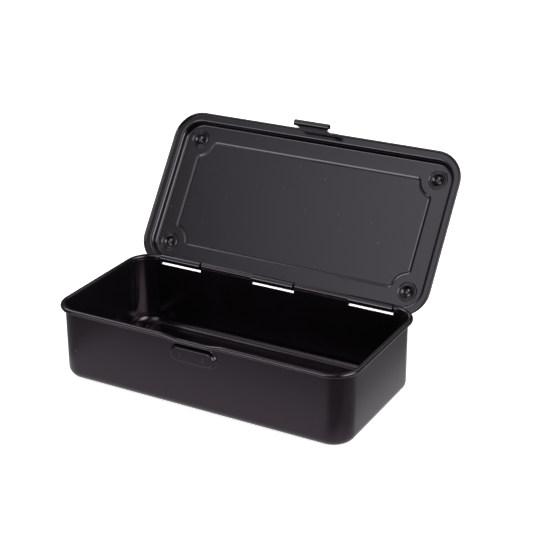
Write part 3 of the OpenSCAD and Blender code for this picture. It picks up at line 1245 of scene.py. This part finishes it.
@dataclass
class LatchTongue:
    """Springy tongue of the lid that snaps over the boss, with its end rolled outwards for a finger."""

    place: LidPlace
    sheet: float = 0.6
    face_y: float = -51.3
    root_y: float = -52.25
    lean_end: float = -3.6
    root_z: float = 0.9
    flex_z: float = -0.1
    root_half: float = 14.7
    neck_half: float = 10.1
    grip_half: float = 12.1
    grip_y: float = -53.0
    grip_z: float = -9.8
    grip_r: float = 2.0
    roll_end: float = 68.0
    columns: int = 16

    def half_width(self, z: float) -> float:
        """Half width of the flat part at a height below the hem."""
        flare = self.root_half - self.neck_half
        foot = self.grip_half - self.neck_half
        top = -0.6
        if z > top:
            return self.root_half
        if z > top - flare:
            drop = top - z
            return self.root_half - math.sqrt(max(flare**2 - (flare - drop) ** 2, 0.0))
        rise = z - self.grip_z
        if rise < foot:
            return self.grip_half - math.sqrt(max(foot**2 - (foot - rise) ** 2, 0.0))
        return self.neck_half

    def stations(self) -> list[tuple[Pair, Pair, float]]:
        """((y, z), direction through the sheet, half width) from the root to the rolled end."""
        found = []
        flare = self.root_half - self.neck_half
        foot = self.grip_half - self.neck_half
        curve = [-0.6 - flare * (1 - math.cos(math.radians(a))) for a in range(0, 91, 6)]
        toe = [self.grip_z + foot * (1 - math.sin(math.radians(a))) for a in range(0, 91, 10)]
        for z in sorted({self.root_z, 0.6, 0.0, *curve, *toe}, reverse=True):
            t = min(max(z / self.lean_end, 0.0), 1.0)
            lean = (self.face_y - self.root_y) * t * t * (3 - 2 * t)
            found.append(((self.root_y + lean, z), (1.0, 0.0), self.half_width(z)))
        middle = self.grip_r - self.sheet / 2
        for a in range(8, int(360 - self.roll_end) + 1, 8):
            turn = math.radians(-a)
            spot = (self.grip_y + middle * math.cos(turn), self.grip_z + middle * math.sin(turn))
            found.append((spot, (math.cos(turn), math.sin(turn)), self.grip_half))
        return found

    def loft(self, work: bmesh.types.BMesh) -> None:
        """Lays the sheet through the stations, with both its faces, its edges and its ends.

        Args:
            work: An empty mesh that gets the faces.
        """
        rings = []
        for (y, z), (ny, nz), half in self.stations():
            ring = []
            for side, sign in ((1, 1), (-1, -1)):
                for i in range(self.columns + 1):
                    x = side * half * (2 * i / self.columns - 1)
                    reach = sign * self.sheet / 2
                    ring.append(work.verts.new((x * MM, (y + ny * reach) * MM, (z + nz * reach) * MM)))
            rings.append(ring)
        for a, b in zip(rings, rings[1:]):
            for i in range(len(a)):
                j = (i + 1) % len(a)
                work.faces.new((a[i], a[j], b[j], b[i]))
        for ring in (rings[0], rings[-1]):
            half = len(ring) // 2
            for i in range(half - 1):
                work.faces.new((ring[i], ring[i + 1], ring[2 * half - 2 - i], ring[2 * half - 1 - i]))

    def build(self, material: bpy.types.Material) -> bpy.types.Object:
        """Makes the tongue, drawn closed and swung open with the lid to the rest position.

        Args:
            material: Its finish.

        Returns:
            The finished piece.
        """
        mesh = bpy.data.meshes.new("latch_tongue_spring")
        with editing(mesh) as work:
            self.loft(work)
        mesh.transform(self.place.swing())
        smooth(mesh)
        piece = show("latch_tongue_spring", mesh, material)
        self.place.at_rest(0, self.face_y, self.flex_z + 0.6)
        self.place.at_rest(0, self.face_y, self.flex_z - 2.4)
        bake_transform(piece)
        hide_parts("latch_tongue")
        return piece


# ---------------------------------------------------------------- studio


def heading(azimuth: float, elevation: float) -> Vector:
    """Unit vector towards an azimuth, from the front to the right, and an elevation in degrees."""
    az, el = math.radians(azimuth), math.radians(elevation)
    return Vector((math.sin(az) * math.cos(el), -math.cos(az) * math.cos(el), math.sin(el)))


@dataclass(frozen=True)
class SoftBox:
    """One large soft light.

    Attributes:
        name: Name of the light.
        azimuth: Direction it comes from in degrees, from the front towards the right.
        elevation: Its height in degrees.
        distance: Distance from the box in metres.
        size: Width and height in metres.
        power: Power in watts.
    """

    name: str
    azimuth: float
    elevation: float
    distance: float
    size: Pair
    power: float

    def build(self, target: Vector) -> bpy.types.Object:
        """Hangs the light so that it faces a point."""
        away = heading(self.azimuth, self.elevation)
        lamp = bpy.data.lights.new(self.name, "AREA")
        lamp.shape = "RECTANGLE"
        lamp.size, lamp.size_y = self.size
        lamp.energy = self.power
        light = bpy.data.objects.new(self.name, lamp)
        light.location = target + away * self.distance
        light.rotation_euler = away.to_track_quat("Z", "Y").to_euler()
        bpy.context.scene.collection.objects.link(light)
        return light


@dataclass(frozen=True)
class GlowPanel:
    """Far soft panel with a fading edge.

    Attributes:
        azimuth: Direction of its middle in degrees, from the front to the right.
        elevation: Its height in degrees.
        core: Angle from the middle over which it is fully bright.
        edge: Angle at which it has faded out.
        strength: Brightness of its middle.
    """

    azimuth: float
    elevation: float
    core: float
    edge: float
    strength: float

    def glow(self, tree: bpy.types.NodeTree, ray: bpy.types.NodeSocket) -> Field:
        """Brightness of the panel in the direction of a ray."""
        axis = tuple(heading(self.azimuth, self.elevation))
        facing = add_node(tree, "ShaderNodeVectorMath", {0: ray, 1: axis}, operation="DOT_PRODUCT")
        angle = Field(tree, facing.outputs["Value"]).op("ARCCOSINE")
        return angle.ramp(math.radians(self.edge), math.radians(self.core)) * self.strength


@dataclass
class Studio:
    """Pale floor, soft lights and the camera.

    Attributes:
        panels: Soft panels that shiny surfaces see.
        light: The one light that also casts a shadow.
        surround: Brightness of the surround between the panels.
        backdrop: Brightness of the backdrop to the camera.
        floor_half: Half size of the floor in metres.
        box_half: Half width and depth of the box's footprint in metres.
        paper_near: Distance from the box, in metres, up to which reflections see the paper's painted glow in
            full.
        paper_edge: Distance at which that painted glow has faded.
        paper_glow: Brightness of the painted glow near the box, which the camera does not see.
        paper_light: What is added to its tone for the camera.
        paper_shaded_tone: Its tone in reflections, darker than the camera sees: painted shade.
        paper_grain: Strength of its grain.
        dim: Brightness of the painted glow away from the box, in reflections.
        painted_shade_x: Where painted shade at the front right fades in, along x.
        painted_shade_y: Where it fades in, along -y.
        painted_shade_dark: How much that painted shade takes away from the paper's glow.
        side_shade_fade: Distance over which painted shade darkens the paper's glow beside the box.
        side_shade_dark: How much that painted shade takes away.
        lift: Light added to the paper for the camera.
        azimuth: Direction of the camera in degrees, from the front to the right.
        elevation: Its height in degrees.
        roll: Its tilt about its own axis in degrees.
        distance: Its distance from the target in millimetres.
        target: What it points at, in millimetres.
        lens: Its focal length in millimetres.
        sensor: Its sensor width in millimetres.
    """

    panels: tuple[GlowPanel, ...] = (
        GlowPanel(-20, 4, 8, 24, 6.0),
        GlowPanel(-5, 45, 8, 34, 2.3),
        GlowPanel(84, 20, 12, 36, 7.0),
        GlowPanel(-95, 48, 6, 24, 5.0),
        GlowPanel(151, 48, 12, 35, 0.9),
    )
    light: SoftBox = SoftBox("overhead", -70, 70, 1.6, (1.6, 1.6), 1.5)
    surround: float = 0.13
    backdrop: float = 0.97
    floor_half: float = 6.0
    box_half: Pair = (0.097, 0.047)
    paper_near: float = 0.0
    paper_edge: float = 0.12
    paper_glow: float = 0.62
    paper_light: float = 0.65
    paper_shaded_tone: float = 0.15
    paper_grain: float = 0.03
    dim: float = 0.09
    painted_shade_x: Pair = (0.07, 0.1)
    painted_shade_y: Pair = (0.05, 0.07)
    painted_shade_dark: float = 0.85
    side_shade_fade: float = 0.03
    side_shade_dark: float = 0.66
    lift: float = 0.7
    azimuth: float = 29.17
    elevation: float = 23.31
    roll: float = -0.35
    distance: float = 825.5
    target: tuple[float, float, float] = (21.99, 0.0, 79.65)
    lens: float = 95.77
    sensor: float = 36.0

    def floor(self) -> bpy.types.Object:
        """Lays the floor under the box."""
        mesh = bpy.data.meshes.new("studio_floor")
        h = self.floor_half
        mesh.from_pydata([(-h, -h, 0), (h, -h, 0), (h, h, 0), (-h, h, 0)], [], [(0, 1, 2, 3)])
        material = bpy.data.materials.new("studio_paper")
        material.use_nodes = True
        tree = material.node_tree
        shader = tree.nodes["Principled BSDF"]
        point = add_node(tree, "ShaderNodeTexCoord").outputs["Object"]
        grain = add_node(tree, "ShaderNodeTexNoise", {"Vector": point, "Scale": 400.0})
        split = add_node(tree, "ShaderNodeSeparateXYZ", {0: point})
        x, y, _ = (Field(tree, socket) for socket in split.outputs)
        seen = Field(tree, add_node(tree, "ShaderNodeLightPath").outputs["Is Camera Ray"])
        aside = (x.size() - self.box_half[0]).at_least(0.0)
        ahead = (y.size() - self.box_half[1]).at_least(0.0)
        # What everything but the camera sees of the floor is painted light: a painted glow, strongest near
        # the box and fading with distance, not a lamp.
        paper = aside.with_side(ahead).ramp(self.paper_edge, self.paper_near)
        # Painted shade on the paper's glow at the front right, which the camera does not see.
        painted_shade = x.ramp(*self.painted_shade_x) * (-y).ramp(*self.painted_shade_y)
        # Painted shade: the front-right patch times the darkening beside the box, both only in what the
        # camera does not see.
        shade = (-painted_shade * self.painted_shade_dark + 1.0) * (-aside.ramp(0.0, self.side_shade_fade) * self.side_shade_dark + 1.0)
        glow = (paper * self.paper_glow + self.dim) * shade
        # The paper's tone is darker for everything but the camera: painted shade.
        tone = seen * self.paper_light + self.paper_shaded_tone
        grain_tone = Field(tree, grain.outputs[0]) * self.paper_grain + tone
        feed(tree, shader.inputs["Base Color"], grain_tone)
        shader.inputs["Emission Color"].default_value = (1, 1, 1, 1)
        feed(tree, shader.inputs["Emission Strength"], seen * self.lift + glow * (-seen + 1.0))
        shader.inputs["Roughness"].default_value = 0.9
        shader.inputs["Specular IOR Level"].default_value = 0.0
        floor = show("studio_floor", mesh, material)
        return floor

    def world(self) -> None:
        """Dim surround with soft glowing panels, which only what is shiny sees."""
        world = bpy.data.worlds.new("studio")
        world.use_nodes = True
        tree = world.node_tree
        sky = tree.nodes["Background"]
        ray = add_node(tree, "ShaderNodeTexCoord").outputs["Generated"]
        seen = Field(tree, add_node(tree, "ShaderNodeLightPath").outputs["Is Camera Ray"])
        first, *others = (panel.glow(tree, ray) for panel in self.panels)
        light = first + self.surround
        for glow in others:
            light = light + glow
        feed(tree, sky.inputs["Strength"], light * (-seen + 1.0) + seen * self.backdrop)
        sky.inputs["Color"].default_value = (1, 1, 1, 1)
        bpy.context.scene.world = world

    def camera(self) -> bpy.types.Object:
        """Sets up the camera."""
        roll = math.radians(self.roll)
        back = heading(self.azimuth, self.elevation)
        right = heading(self.azimuth + 90, 0)
        up = back.cross(right)
        tilted_right = right * math.cos(roll) + up * math.sin(roll)
        tilted_up = up * math.cos(roll) - right * math.sin(roll)
        place = Matrix((tilted_right, tilted_up, back)).transposed().to_4x4()
        place.translation = (Vector(self.target) + back * self.distance) * MM
        data = bpy.data.cameras.new("camera")
        data.lens = self.lens
        data.sensor_width = self.sensor
        data.clip_start = 0.01
        data.clip_end = 100.0
        camera = bpy.data.objects.new("camera", data)
        camera.matrix_world = place
        bpy.context.scene.collection.objects.link(camera)
        bpy.context.scene.camera = camera
        return camera

    def build(self) -> None:
        """Sets up everything round the box."""
        self.floor()
        self.world()
        self.camera()
        self.light.build(Vector((0, 0, 0.06)))
        bpy.context.scene.view_settings.view_transform = "Standard"


def main() -> None:
    """Builds the box piece by piece and sets it in the studio."""
    logging.basicConfig(level=logging.INFO, format="%(message)s")
    effects = EffectGroups.build()
    black = (0.003, 0.0025, 0.003)
    body_paint = Enamel("black_enamel_body", black, (1.0, 0.8, 1.0)).build(effects)
    lid_paint = Enamel("black_enamel_lid", black, (0.95, 0.88, 1.0), dust=0.09).build(effects)
    hang = LidPlace()
    Body().build(body_paint)
    Lid(hang).build(lid_paint)
    HingeTabs(hang).build(lid_paint)
    LatchTongue(hang).build(lid_paint)
    Studio().build()


if __name__ == "__main__":
    main()
